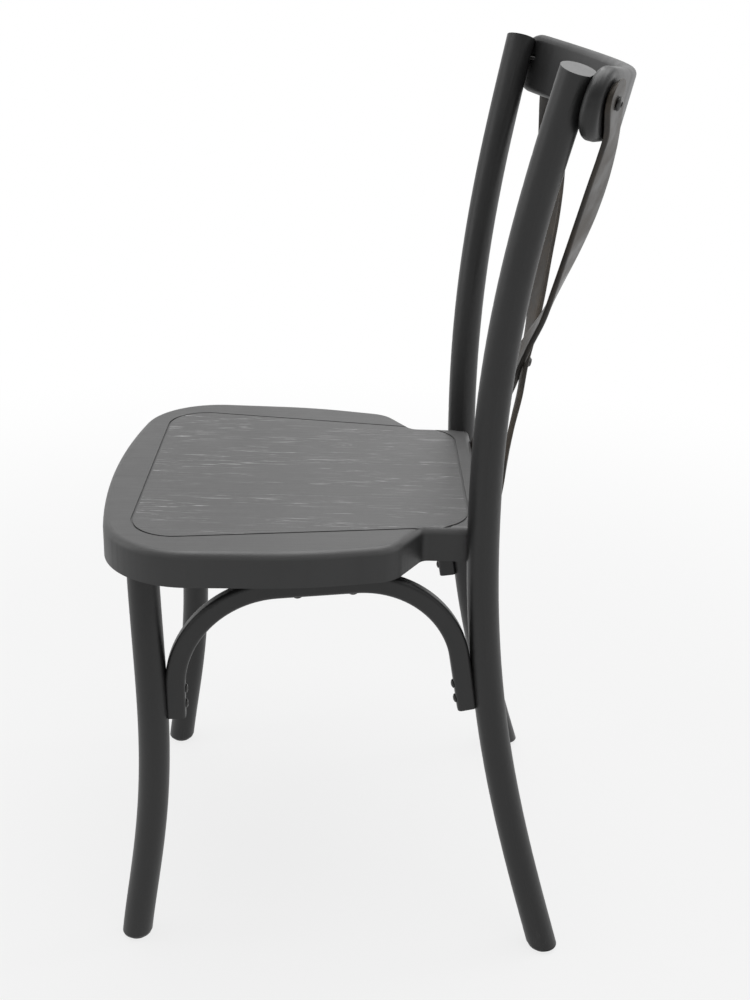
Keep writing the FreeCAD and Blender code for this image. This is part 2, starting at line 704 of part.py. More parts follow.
def arch_path(body, name):
    path = new_sketch(body, f"{name}Path", "YZ_Plane")
    front, rear = -size("archFrontReach"), size("archRearReach")
    rise, lean = (math.radians(size(f"arch{what}")) for what in ("Rise", "RearLean"))
    low_front = Vector(front, evaluate(level("archFront")), 0)
    low_rear = Vector(rear, evaluate(level("archRear")), 0)
    top = evaluate(ARCH_TOP)
    corner_front = Vector(front, top + front * math.tan(rise), 0)
    down = Vector(math.sin(lean), -math.cos(lean), 0)
    along = Vector(math.cos(rise), math.sin(rise), 0)
    shift = low_rear - Vector(0, top, 0)
    run = (shift.x * down.y - shift.y * down.x) / (along.x * down.y - along.y * down.x)
    corner_rear = Vector(0, top, 0) + along * run

    def bend(corner, before, after, radius):
        """Tangent points and middle of the arc that rounds a corner."""
        half_turn = math.acos(before.dot(after)) / 2
        reach = radius * math.tan(half_turn)
        towards_centre = (after - before).normalize()
        middle = corner + towards_centre * (radius / math.cos(half_turn) - radius)
        return corner - before * reach, middle, corner + after * reach

    first = bend(corner_front, AXIS_Y, along, size("archFrontRadius"))
    second = bend(corner_rear, along, down, size("archRearRadius"))
    arcs = [Part.Arc(*points) for points in (first, second)]
    for geometry in (
        Part.LineSegment(low_front, first[0]), arcs[0],
        Part.LineSegment(first[2], second[0]), arcs[1],
        Part.LineSegment(second[2], low_rear),
    ):
        path.addGeometry(geometry)
    # Both arcs turn clockwise, so each is entered at its second end.
    constrain(
        path,
        ("Vertical", 0), ("Tangent", 0, 2, 1, 2), ("Tangent", 1, 1, 2, 1),
        ("Tangent", 2, 2, 3, 2), ("Tangent", 3, 1, 4, 1),
    )
    pin_point(path, 0, 1, "-Sizes.archFrontReach", level("archFront"))
    pin_point(path, 4, 2, "Sizes.archRearReach", level("archRear"))
    dimension(path, "Radius", 1, formula="Sizes.archFrontRadius")
    dimension(path, "Radius", 3, formula="Sizes.archRearRadius")
    dimension(path, "Angle", 2, formula="Sizes.archRise")
    dimension(path, "Angle", 4, formula="Sizes.archRearLean - 90")
    crown = path.addGeometry(Part.Point(Vector(0, top, 0)), True)
    pin_point(path, crown, 1, "0", ARCH_TOP)
    constrain(path, ("PointOnObject", crown, 1, 2))
    return path


def make_arch(name, side):
    body = new_body(name)
    path = arch_path(body, name)
    profile = new_sketch(body, f"{name}Profile", offset={
        "y": "-Sizes.archFrontReach", "z": level("archFront")})
    half_across, half_along = "Sizes.archThickness / 2", "Sizes.archWidth / 2"
    polygon(profile, [
        (f"-{half_across}", f"-{half_along}"), (half_across, f"-{half_along}"),
        (half_across, half_along), (f"-{half_across}", half_along),
    ])
    doc.recompute()
    pipe = body.newObject("PartDesign::AdditivePipe", f"{name}Pipe")
    pipe.Profile = profile
    pipe.Spine = (path, [f"Edge{index}" for index in range(1, 6)])
    body.Tip = pipe
    doc.recompute()
    is_across = runs_along(AXIS_X)

    def is_long(edge):
        ends = [evaluate(level(f"arch{end}")) for end in ("Front", "Rear")]
        box = edge.BoundBox
        near_end = box.ZMax < max(ends) + size("archWidth")
        return not is_across(edge) and not (near_end and edge.Length < size("archWidth") * 1.1)

    fillet(body, f"{name}Rounding", pipe, edges_where(pipe, is_long), "Sizes.archRounding")
    body.Placement = Placement(ORIGIN, Rotation(Vector(0, 0, side), size("archTurn")))
    bind(body, {
        "Placement.Base.x": f"{side} * Sizes.archSide",
        "Placement.Base.y": "-Sizes.archAhead",
        "Placement.Rotation.Angle": "Sizes.archTurn * 1deg",
    })
    return body


def arch_place(side):
    base = Vector(side * size("archSide"), -size("archAhead"), 0)
    return Placement(base, Rotation(Vector(0, 0, side), size("archTurn")))


def arch_foot_screws(side, end):
    """Places of the two screws at one foot of an arch."""
    lean = math.radians(size("archRearLean")) if end == "Rear" else 0
    sign = 1 if end == "Rear" else -1
    up = Vector(0, -math.sin(lean), math.cos(lean))
    outward = Vector(0, sign * math.cos(lean), sign * math.sin(lean))
    foot = Vector(0, sign * size(f"arch{end}Reach"), evaluate(level(f"arch{end}")))
    place = arch_place(side)
    places = []
    for along in (size("archScrewLow"), size("archScrewLow") + size("archScrewPitch")):
        head = foot + up * along - outward * (size("archWidth") / 2)
        places.append(aimed(place.multVec(head), place.Rotation.multVec(outward)))
    return places


def arch_seat_screws(side):
    """Places of the two screws from under an arch up into the seat."""
    rise = math.radians(size("archRise"))
    along, up = Vector(0, math.cos(rise), math.sin(rise)), Vector(0, -math.sin(rise), math.cos(rise))
    middle = Vector(0, 0, evaluate(ARCH_TOP))
    place = arch_place(side)
    places = []
    for sign in (-1, 1):
        head = middle + along * (sign * size("archSeatSpread")) - up * (size("archWidth") / 2)
        places.append(aimed(place.multVec(head), place.Rotation.multVec(up)))
    return places


# Seat: a moulded shell, open underneath, with ribs, leg sockets, bosses and blocks.


SEAT_CORNER_DEPTH = ("-(Sizes.seatFront - Sizes.seatFrontRadius"
                     " + sqrt(Sizes.seatFrontRadius^2 - Sizes.seatCornerSide^2))")


def seat_outline(sketch):
    """Bowed front edge as an arc, the other sides straight up to their rounded corners."""
    half = [
        ("Sizes.seatCornerSide", SEAT_CORNER_DEPTH),
        ("Sizes.seatWaistSide", "-Sizes.seatWaistAhead"),
        ("Sizes.seatShoulderSide", "Sizes.seatShoulderDepth"),
        ("Sizes.seatNeckSide", "Sizes.seatNeckDepth"),
        ("Sizes.seatNeckSide", "Sizes.seatRear"),
    ]
    corners = half + [(f"-{across}", along) for across, along in reversed(half)]
    points = [Vector(evaluate(across), evaluate(along), 0) for across, along in corners]
    for start, end in zip(points, points[1:]):
        sketch.addGeometry(Part.LineSegment(start, end))
    radius = size("seatFrontRadius")
    centre = Vector(0, radius - size("seatFront"), 0)
    reach = math.asin(size("seatCornerSide") / radius)
    ahead = 1.5 * math.pi
    full = Part.Circle(centre, AXIS_Z, radius)
    front = sketch.addGeometry(Part.ArcOfCircle(full, ahead - reach, ahead + reach))
    last = len(points) - 1
    for index in range(last):
        pin_point(sketch, index, 1, *corners[index])
    pin_point(sketch, last - 1, 2, *corners[last])
    for index in range(last - 1):
        constrain(sketch, ("Coincident", index, 2, index + 1, 1))
    constrain(sketch, ("Coincident", front, 1, last - 1, 2), ("Coincident", front, 2, 0, 1))
    dimension(sketch, "Radius", front, formula="Sizes.seatFrontRadius")


def near_corner(side_alias, depth_formula):
    """Upright edges at one corner of the outline, on both sides."""
    across, along = size(side_alias), evaluate(depth_formula)
    upright = runs_along(AXIS_Z)

    def test(edge):
        point = edge.Vertexes[0].Point
        return (upright(edge) and abs(abs(point.x) - across) < 0.5
                and abs(point.y - along) < 0.5)
    return test


def make_seat_block():
    body = new_body("SeatBlock")
    sketch = new_sketch(body, "SeatPlan", offset={"z": SEAT_BOTTOM})
    seat_outline(sketch)
    feature = pad(body, sketch, "Sizes.seatDepth")
    for name, side_alias, depth in (
        ("Corner", "seatCornerSide", SEAT_CORNER_DEPTH),
        ("Waist", "seatWaistSide", "-Sizes.seatWaistAhead"),
        ("Shoulder", "seatShoulderSide", "Sizes.seatShoulderDepth"),
        ("Neck", "seatNeckSide", "Sizes.seatNeckDepth"),
    ):
        edges = edges_where(feature, near_corner(side_alias, depth))
        feature = fillet(body, f"Seat{name}s", feature, edges, f"Sizes.seat{name}Radius")
    rear = size("seatRear")

    def is_upper_rim(edge):
        return level_at(size("seatTopHeight"))(edge) and edge.BoundBox.YMax < rear + 0.1

    rounded = fillet(body, "SeatRim", feature, edges_where(feature, is_upper_rim),
                     "Sizes.seatTopRounding")
    return body, rounded


def hollow_seat(body, block):
    shell = body.newObject("PartDesign::Thickness", "SeatHollow")
    bottom = evaluate(SEAT_BOTTOM)
    faces = [f"Face{index}" for index, face in enumerate(block.Shape.Faces, start=1)
             if abs(face.BoundBox.ZMax - bottom) < 0.01]
    shell.Base = (block, faces)
    shell.Reversed = True
    shell.Join = 0
    shell.setExpression("Value", "Sizes.seatWall")
    body.Tip = shell
    doc.recompute()
    return shell


def box(name, low, high):
    """Box between two corners given as formulas."""
    feature = doc.addObject("Part::Box", name)
    bind(feature, {f"Placement.Base.{axis}": start for axis, start in zip("xyz", low)})
    for side, start, end in zip(("Length", "Width", "Height"), low, high):
        feature.setExpression(side, f"({end}) - ({start})")
    return feature


def seat_ribs():
    low, high = "Sizes.seatTopHeight - Sizes.ribDepth", PLATE_MIDDLE
    half = "Sizes.ribThickness / 2"
    ribs = []
    lanes = math.floor(size("seatNeckSide") / size("ribPitch"))
    for lane in range(-lanes, lanes + 1):
        middle = f"{lane} * Sizes.ribPitch"
        ribs.append(box(f"RibLong{lane + lanes}", (f"{middle} - {half}", "-Sizes.seatFront", low),
                        (f"{middle} + {half}", "Sizes.seatRear", high)))
    rows = math.floor((size("seatFront") + size("seatRear")) / size("ribPitch"))
    for row in range(1, rows + 1):
        middle = f"Sizes.seatRear - {row} * Sizes.ribPitch"
        ribs.append(box(f"RibAcross{row}", ("-Sizes.seatCornerSide", f"{middle} - {half}", low),
                        ("Sizes.seatCornerSide", f"{middle} + {half}", high)))
    return ribs


def seat_blocks():
    low = f"{SEAT_BOTTOM} + Sizes.blockRecess"
    high = PLATE_MIDDLE
    ahead = "Sizes.seatRear - Sizes.blockDepth"
    behind = "Sizes.seatRear - Sizes.seatWall / 2"
    outer = "Sizes.seatNeckSide"
    left = box("BlockLeft", ("Sizes.blockInner", ahead, low), (outer, behind, high))
    right = box("BlockRight", (f"-{outer}", ahead, low), ("-Sizes.blockInner", behind, high))
    return [left, right]


def groove():
    """Ring between two rounded trapezoids, sunk into the seat's top."""
    rings = []
    for name, sign in (("GrooveOuter", 1), ("GrooveInner", -1)):
        grow = f"{sign} * Sizes.grooveWidth / 2"
        body = new_body(name)
        sketch = new_sketch(body, f"{name}Plan",
                            offset={"z": "Sizes.seatTopHeight - Sizes.grooveDepth"})
        ahead = f"-(Sizes.seatFront - Sizes.grooveInset + {grow})"
        behind = f"Sizes.seatRear - Sizes.grooveRearInset + {grow}"
        wide, narrow = (f"(Sizes.groove{end}Side + {grow})" for end in ("Front", "Rear"))
        polygon(sketch, [(f"-{wide}", ahead), (wide, ahead), (narrow, behind), (f"-{narrow}", behind)])
        feature = pad(body, sketch, "2 * Sizes.grooveDepth")
        fillet(body, f"{name}Corners", feature, edges_where(feature, runs_along(AXIS_Z)),
               f"Sizes.grooveRadius + {grow}")
        rings.append(body)
    return combined("Cut", "Groove", *rings)


def seat_bolt_place(side):
    height = evaluate(f"{SEAT_BOTTOM} + Sizes.seatBoltRise")
    head = Vector(side * (size("blockInner") - size("washerThickness")),
                  size("postHipDepth"), height)
    return aimed(head, Vector(side, 0, 0))


def leg_screw_place(side):
    height = evaluate(f"{SEAT_BOTTOM} + Sizes.legScrewRise")
    out = size("legDiameter") / 2 + size("socketClearance") + size("socketWall")
    top = evaluate(LEG_TOP)
    share = (top - height) / (top - evaluate(level("legThigh")))
    side_here = size("legTopSide") + share * (size("legThighSide") - size("legTopSide"))
    ahead = size("legTopAhead") + share * (size("legThighAhead") - size("legTopAhead"))
    return aimed(Vector(side * (side_here - out), -ahead, height), Vector(side, 0, 0))


def slat_screw_place(side):
    height = evaluate(SLAT_FOOT)
    across = abs(evaluate(slat_side(SLAT_FOOT)))
    behind = evaluate(SLAT_REST) + size("slatThickness") / 2 + size("fitClearance")
    head = Vector(side * across, behind, height)
    return aimed(head, AXIS_Y.negative())


def rail_screw_place(side):
    height = f"({POST_TOP} - Sizes.railScrewDrop)"
    across = side * evaluate(slat_side(height))
    gap = 3 * size("fitClearance") + size("slatThickness")
    head, inward = behind_rail(across, gap, evaluate(height))
    return aimed(head, inward)


CROSS_HALF = ("((Sizes.slatThickness + Sizes.slatCrossGap / 2) * cos(Sizes.slatCrossRise * 1deg)"
              " + Sizes.fitClearance / 2)")
CROSS_GRIP = f"(2 * {CROSS_HALF} + Sizes.crossNutHeight / 2)"


def cross_screw_place(face):
    """Placement on the front (-1) or rear (1) face of the pair of slats at the crossing."""
    lean = math.radians(size("slatCrossRise"))
    back = Vector(0, math.cos(lean), -math.sin(lean))
    middle = Vector(0, size("slatCrossDepth"), evaluate(SLAT_CROSS))
    return aimed(middle + back * (face * evaluate(CROSS_HALF)), back * -face)


def seat_back_room():
    """Space behind which the slats stay, so that they lie flat on the seat's rear edge."""
    span = "Sizes.seatNeckSide"
    return box("SeatBackRoom", (f"-{span}", "0", f"{SEAT_BOTTOM} - Sizes.slatWidth"),
               (span, "Sizes.seatRear + Sizes.fitClearance", "Sizes.seatTopHeight"))


def both(place_for):
    return [place_for(side) for side in SIDES.values()]


# Build the pieces, largest first.

rail_room = make_rail_room()
posts, legs, arches = {}, {}, {}
for word, side in SIDES.items():
    title = word.capitalize()
    posts[word] = make_post(f"Post{title}", side)
    legs[word] = make_leg(f"Leg{title}", side)
    arches[word] = make_arch(f"Arch{title}", side)

seat_bolts = both(seat_bolt_place)
leg_screws = both(leg_screw_place)
slat_screws = both(slat_screw_place)
rail_screws = both(rail_screw_place)
front_foot_screws = [place for side in SIDES.values() for place in arch_foot_screws(side, "Front")]
rear_foot_screws = [place for side in SIDES.values() for place in arch_foot_screws(side, "Rear")]
seat_arch_screws = [place for side in SIDES.values() for place in arch_seat_screws(side)]
arch_screws = front_foot_screws + rear_foot_screws + seat_arch_screws

rail_bores = shank_bores("RailScrewBores", "railScrew", rail_screws)
slat_bores = shank_bores("SlatScrewBores", "slatScrew", slat_screws)
arch_bores = shank_bores("ArchScrewBores", "archScrew", arch_screws)
arch_driver_room = driver_bores(
    "ArchScrewRoom", "Sizes.archScrewHead", "Sizes.fitClearance", arch_screws)
leg_bores = shank_bores("LegScrewBores", "legScrew", leg_screws)
seat_bores = shank_bores("SeatBoltBores", "seatBolt", seat_bolts)

# Thread inserts lie in the rear posts, around the ends of the seat bolts.
INSERT_START = ("(Sizes.postHipSide - Sizes.postDiameter / 2 + Sizes.insertRecess"
                " - Sizes.blockInner + Sizes.washerThickness)")
insert_bores = bores(
    "InsertBores", "Sizes.insertDiameter / 2 + Sizes.boreClearance",
    f"-({INSERT_START} + Sizes.insertLength + Sizes.boreClearance)",
    "Sizes.insertLength + 2 * Sizes.insertRecess", seat_bolts)


glide_places, foot_rings = {}, {}
for end, stem, depth in (("rear", "post", size("postFootDepth")),
                         ("front", "leg", -size("legFootAhead"))):
    ring_blank = foot_rounding(f"{stem.capitalize()}FootRing", stem)
    for word, side in SIDES.items():
        place = Placement(Vector(side * size(f"{stem}FootSide"), depth, 0), Rotation())
        glide_places[f"{end}_{word}"] = place
        foot_rings[f"{end}_{word}"], = copies_of(ring_blank, [place])
pin_bores = bores(
    "GlidePinBores", "Sizes.glidePinDiameter / 2 + Sizes.boreClearance", "0",
    "Sizes.glideThickness + Sizes.glidePinLength + Sizes.boreClearance",
    glide_places.values())

post_rooms, leg_rooms, raised_arches = [], [], []
for word, side in SIDES.items():
    title = word.capitalize()
    node(f"rear_post_{word}", without(
        f"RearPost{title}", posts[word],
        [rail_room, rail_bores, arch_bores, seat_bores, insert_bores, pin_bores,
         foot_rings[f"rear_{word}"]]))
    node(f"front_leg_{word}", without(
        f"FrontLeg{title}", legs[word],
        [arch_bores, leg_bores, pin_bores, foot_rings[f"front_{word}"]]))
    post_rooms.append(make_post(f"PostRoom{title}", side, "Sizes.fitClearance"))
    leg_rooms.append(make_leg(f"LegRoom{title}", side, "Sizes.fitClearance"))
    node(f"side_arch_{word}", without(
        f"SideArch{title}", arches[word],
        [post_rooms[-1], leg_rooms[-1], arch_bores, arch_driver_room]))
    raised = doc.addObject("App::Link", f"RaisedArch{title}")
    raised.LinkedObject = arches[word]
    raised.LinkTransform = True
    raised.setExpression("Placement.Base.z", "Sizes.fitClearance")
    raised_arches.append(raised)

node("top_rail", combined("Cut", "TopRail", make_rail(), rail_bores))

back_room = seat_back_room()
cross_bore = shank_bores("CrossScrewBore", "crossScrew", [cross_screw_place(-1)], CROSS_GRIP)
for label, side, layer in (("cross_slat_front", LEFT, -1), ("cross_slat_rear", RIGHT, 1)):
    name = "SlatFront" if layer < 0 else "SlatRear"
    node(label, without(f"{name}Drilled", make_slat(name, side, layer),
                        [rail_bores, slat_bores, cross_bore, back_room]))

# The seat is cast around a core: what the core leaves out becomes ribs, sockets and bosses.
seat_body, seat_block = make_seat_block()
hollow_seat(seat_body, seat_block)
half_span = "(Sizes.seatCornerSide + Sizes.socketWall)"


def below_plate(name, lowest, blanks):
    """The part of the blanks between a height and the middle of the seat's top plate."""
    zone = box(f"{name}Zone", (f"-{half_span}", "-Sizes.seatFront", lowest),
               (half_span, "Sizes.seatRear", PLATE_MIDDLE))
    return combined("Common", name, zone, blanks)


sockets = fused("LegSockets", [
    peg(f"Socket{word}", side,
        "Sizes.legDiameter / 2 + Sizes.socketClearance + Sizes.socketWall",
        PLATE_MIDDLE)
    for word, side in SIDES.items()])
bosses = below_plate("ArchBosses", f"{ARCH_TOP} - Sizes.archWidth", bores(
    "ArchBossBlanks", "Sizes.bossDiameter / 2", "-Sizes.seatDepth * 2",
    "Sizes.seatDepth * 2 - Sizes.archWidth / 2", seat_arch_screws))
cavity = combined("Cut", "SeatCavity", seat_block, seat_body)
core = without("SeatCore", cavity, [
    *seat_ribs(), *seat_blocks(), sockets, bosses,
    *(upright(f"PostWall{word}", side,
              "Sizes.postDiameter / 2 + Sizes.fitClearance + Sizes.seatWall")
      for word, side in SIDES.items()),
])
grooved = combined("Cut", "GroovedSeat", seat_block, groove())
solid_seat = fused("SeatSolid", [grooved, sockets, bosses])
leg_holes = [
    peg(f"LegHole{word}", side, "Sizes.legDiameter / 2 + Sizes.socketClearance", PLATE_UNDERSIDE)
    for word, side in SIDES.items()]
node("seat_shell", without("SeatShell", combined("Cut", "SeatMoulding", solid_seat, core), [
    *post_rooms, *leg_holes, *raised_arches, arch_bores, leg_bores, seat_bores,
    slat_bores, driver_bores("LegScrewRoom", "Sizes.legScrewHead", "0", leg_screws),
    driver_bores("SeatBoltRoom", "Sizes.washerDiameter", "-Sizes.washerThickness", seat_bolts),
]))

glide = turned("Glide", [
    ("0", "0"), ("Sizes.glideDiameter / 2 - Sizes.glideRounding", "0"),
    ("Sizes.glideDiameter / 2", "Sizes.glideRounding"),
    ("Sizes.glideDiameter / 2", "Sizes.glideThickness"),
    ("Sizes.glidePinDiameter / 2", "Sizes.glideThickness"),
    ("Sizes.glidePinDiameter / 2", "Sizes.glideThickness + Sizes.glidePinLength"),
    ("0", "Sizes.glideThickness + Sizes.glidePinLength"),
])
for name, place in glide_places.items():
    set_of(f"glide_{name}", glide, [place])

set_of("rail_screws", screw("railScrew"), rail_screws)
set_of("slat_foot_screws", screw("slatScrew"), slat_screws)
set_of("crossing_screw", screw("crossScrew", CROSS_GRIP), [cross_screw_place(-1)])
arch_screw = screw("archScrew")
set_of("arch_leg_screws", arch_screw, front_foot_screws)
set_of("arch_post_screws", arch_screw, rear_foot_screws)
set_of("arch_seat_screws", arch_screw, seat_arch_screws)
set_of("leg_socket_screws", screw("legScrew"), leg_screws)
set_of("seat_bolts", screw("seatBolt"), seat_bolts)
washer = ring("Washer", "Sizes.washerDiameter / 2",
              "Sizes.seatBoltDiameter / 2 + Sizes.boreClearance", "-Sizes.washerThickness")
set_of("seat_bolt_washers", washer, seat_bolts)
insert = ring("Insert", "Sizes.insertDiameter / 2",
              "Sizes.seatBoltDiameter / 2 + Sizes.boreClearance", "-Sizes.insertLength")
into_post = Placement(Vector(0, 0, -evaluate(INSERT_START)), Rotation())
set_of("post_inserts", insert, [place.multiply(into_post) for place in seat_bolts])

nut_radius, nut_bore = "Sizes.crossNutDiameter / 2", "Sizes.crossScrewDiameter / 2"
nut = turned("CapNut", [
    (f"{nut_bore} + Sizes.boreClearance", "0"), (nut_radius, "0"),
    (nut_radius, "Sizes.crossNutHeight * 0.5"), (f"{nut_radius} * 0.7", "Sizes.crossNutHeight"),
    ("0", "Sizes.crossNutHeight"), ("0", "Sizes.crossNutHeight / 2 + Sizes.boreClearance"),
    (f"{nut_bore} + Sizes.boreClearance", "Sizes.crossNutHeight / 2 + Sizes.boreClearance"),
])
set_of("crossing_nut", nut, [cross_screw_place(1)])

doc.recompute()
failed = [thing.Name for thing in doc.Objects if {"Invalid", "Error"} & set(thing.State)]
if failed:
    raise RuntimeError(f"failed features: {failed}")
for label, feature in nodes.items():
    shape = feature.Shape
    if shape.isNull() or not shape.isValid() or not shape.Solids:
        raise RuntimeError(f"{label} has no valid solid")

os.makedirs("parts", exist_ok=True)
for label, feature in nodes.items():
    feature.Shape.exportStep(f"parts/{label}.step")
    print(label, len(feature.Shape.Solids), round(feature.Shape.Volume))
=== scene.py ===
import math

import bpy
import numpy as np
from mathutils import Matrix, Vector


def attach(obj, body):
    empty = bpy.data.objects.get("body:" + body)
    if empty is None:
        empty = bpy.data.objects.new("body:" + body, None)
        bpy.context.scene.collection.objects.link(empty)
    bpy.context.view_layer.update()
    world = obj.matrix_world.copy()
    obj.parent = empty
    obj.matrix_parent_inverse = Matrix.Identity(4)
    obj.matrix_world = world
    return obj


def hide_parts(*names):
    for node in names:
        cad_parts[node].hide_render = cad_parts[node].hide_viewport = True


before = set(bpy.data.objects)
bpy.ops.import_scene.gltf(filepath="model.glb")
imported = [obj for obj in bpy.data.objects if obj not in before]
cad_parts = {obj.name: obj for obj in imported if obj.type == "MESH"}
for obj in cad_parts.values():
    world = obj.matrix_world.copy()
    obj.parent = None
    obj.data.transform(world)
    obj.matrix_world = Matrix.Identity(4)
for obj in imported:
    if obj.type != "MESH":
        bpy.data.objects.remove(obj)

# A cross back chair of moulded black resin with two crossing metal slats.
# Lengths are in metres: X is the sitter's left, Y runs from front to back, Z is up.

mm = 0.001
scene = bpy.context.scene
scene.view_settings.view_transform = "Standard"
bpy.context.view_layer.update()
print("frame loaded with", len(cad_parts), "nodes")


# camera: seen from the chair's left, a little above the seat

cameraSizes = {
    "place": (1.35407, -0.00544, 0.97375),
    "right": (0.010227, 0.999478, 0.030643),
    "up": (-0.377183, -0.024525, 0.925814),
    "focalPixels": 1355.05,
    "longSidePixels": 1000,
    "sensorWidth": 36,
}


def makeCamera():
    sizes = cameraSizes
    data = bpy.data.cameras.new("sideCamera")
    data.sensor_width = sizes["sensorWidth"]
    data.lens = sizes["focalPixels"] * sizes["sensorWidth"] / sizes["longSidePixels"]
    data.clip_start, data.clip_end = 0.05, 200
    camera = bpy.data.objects.new("sideCamera", data)
    scene.collection.objects.link(camera)
    right, up = (Vector(sizes[key]).normalized() for key in ("right", "up"))
    turn = Matrix((right, up, right.cross(up))).transposed()
    camera.matrix_world = Matrix.Translation(sizes["place"]) @ turn.to_4x4()
    scene.camera = camera


makeCamera()
print("camera placed")


# shader maths: a Signal is a socket that takes part in sums


class Signal:
    def __init__(self, finish, socket):
        self.finish, self.socket = finish, socket

    def joined(self, operation, first, second):
        return self.finish.node("ShaderNodeMath", {"operation": operation}, {0: first, 1: second})

    def __add__(self, other):
        return self.joined("ADD", self, other)

    def __radd__(self, other):
        return self.joined("ADD", other, self)

    def __sub__(self, other):
        return self.joined("SUBTRACT", self, other)

    def __rsub__(self, other):
        return self.joined("SUBTRACT", other, self)

    def __mul__(self, other):
        return self.joined("MULTIPLY", self, other)

    def __rmul__(self, other):
        return self.joined("MULTIPLY", other, self)

    def __truediv__(self, other):
        return self.joined("DIVIDE", self, other)

    def __pow__(self, other):
        return self.joined("POWER", self, other)

    def __abs__(self):
        return self.joined("ABSOLUTE", self, 0)


class Finish:
    def __init__(self, name, tree=None):
        self.material = None
        if tree is None:
            self.material = bpy.data.materials.new(name)
            self.material.use_nodes = True
            tree = self.material.node_tree
        self.tree = tree
        self.surface = tree.nodes.get("Principled BSDF")

    def node(self, kind, settings=None, inputs=None, output=0):
        made = self.tree.nodes.new(kind)
        for key, value in (settings or {}).items():
            if key == "stops":
                self.setStops(made.color_ramp, value)
            else:
                setattr(made, key, value)
        for key, value in (inputs or {}).items():
            self.feed(made.inputs[key], value)
        return Signal(self, made.outputs[output])

    def setStops(self, ramp, stops):
        for index, (place, shade) in enumerate(stops):
            stop = ramp.elements[index] if index < 2 else ramp.elements.new(place)
            stop.position = place
            stop.color = (shade, shade, shade, 1)

    def feed(self, socket, value):
        if isinstance(value, Signal):
            self.tree.links.new(value.socket, socket)
        else:
            socket.default_value = value

    def set(self, **values):
        for key, value in values.items():
            self.feed(self.surface.inputs[key.replace("_", " ")], value)

    def place(self):
        return self.node("ShaderNodeTexCoord", output="Object")

    def split(self, vector):
        source = self.node("ShaderNodeSeparateXYZ", inputs={0: vector}).socket.node
        return [Signal(self, socket) for socket in source.outputs]

    def stretched(self, vector, scale):
        return self.node("ShaderNodeMapping", {"vector_type": "POINT"},
                         {"Vector": vector, "Scale": scale})

    def noise(self, vector, scale, detail=3.0, roughness=0.55, distortion=0.0):
        return self.node("ShaderNodeTexNoise", {"noise_dimensions": "3D"}, {
            "Vector": vector, "Scale": scale, "Detail": detail,
            "Roughness": roughness, "Distortion": distortion})

    def ramp(self, factor, stops):
        return self.node("ShaderNodeValToRGB", {"stops": stops}, {0: factor})

    def larger(self, first, second):
        return self.node("ShaderNodeMath", {"operation": "MAXIMUM"}, {0: first, 1: second})

    def smaller(self, first, second):
        return self.node("ShaderNodeMath", {"operation": "MINIMUM"}, {0: first, 1: second})

    def between(self, value, low, high, start=0.0, end=1.0):
        return self.node("ShaderNodeMapRange", {"interpolation_type": "SMOOTHSTEP"}, {
            "Value": value, "From Min": low, "From Max": high, "To Min": start, "To Max": end})

    def blend(self, factor, first, second):
        return self.node("ShaderNodeMix", {"data_type": "RGBA"}, {0: factor, 6: first, 7: second},
                         output=2)

    def relief(self, height, strength, distance, under=None):
        inputs = {"Strength": strength, "Distance": distance, "Height": height}
        if under is not None:
            inputs["Normal"] = under
        return self.node("ShaderNodeBump", inputs=inputs)


def grey(level, warmth=0.0):
    return (level * (1 + warmth), level, level * (1 - warmth), 1)


# stage: a pale floor that runs into a white surround, and soft lamps

stageSizes = {
    "floorHalf": 60,
    "floorShade": 0.55,
    "floorRoughness": 0.9,
    "floorSpecular": 0.1,
    "shadowNear": 0.5,  # distance within which the floor keeps its shadow in full
    "shadowFar": 1.9,
    "whiteShare": 0.80,
    "worldLevel": 0.42,
    "darkSide": 0.36,  # what gloss shows of the room on the chair's left
    "darkFrom": 0.9,  # sideways part of the direction from which the room is that dark
}


def seenRays(finish):
    rays = finish.node("ShaderNodeLightPath").socket.node.outputs
    camera, glossy, through = (Signal(finish, rays[name]) for name in (
        "Is Camera Ray", "Is Glossy Ray", "Is Transmission Ray"))
    return finish.larger(camera, finish.larger(glossy, through))


def makeFloor():
    sizes = stageSizes
    half = sizes["floorHalf"]
    mesh = bpy.data.meshes.new("floor")
    corners = [(-half, -half, 0), (half, -half, 0), (half, half, 0), (-half, half, 0)]
    mesh.from_pydata(corners, [], [(0, 1, 2, 3)])
    floor = bpy.data.objects.new("floor", mesh)
    scene.collection.objects.link(floor)
    finish = Finish("paleFloor")
    finish.set(Base_Color=grey(sizes["floorShade"]), Roughness=sizes["floorRoughness"],
               Specular_IOR_Level=sizes["floorSpecular"])
    away = finish.node("ShaderNodeVectorMath", {"operation": "LENGTH"},
                       {0: finish.place()}, output="Value")
    share = finish.between(away, sizes["shadowNear"], sizes["shadowFar"], sizes["whiteShare"], 1.0)
    white = finish.node("ShaderNodeEmission", inputs={"Color": grey(1), "Strength": 1.0})
    plain = Signal(finish, finish.surface.outputs[0])
    mixed = finish.node("ShaderNodeMixShader", inputs={
        0: seenRays(finish) * share, 1: plain, 2: white})
    output = finish.tree.nodes["Material Output"]
    finish.tree.links.new(mixed.socket, output.inputs["Surface"])
    mesh.materials.append(finish.material)


def glow(finish, strength):
    return finish.node("ShaderNodeBackground", inputs={"Color": grey(1), "Strength": strength})


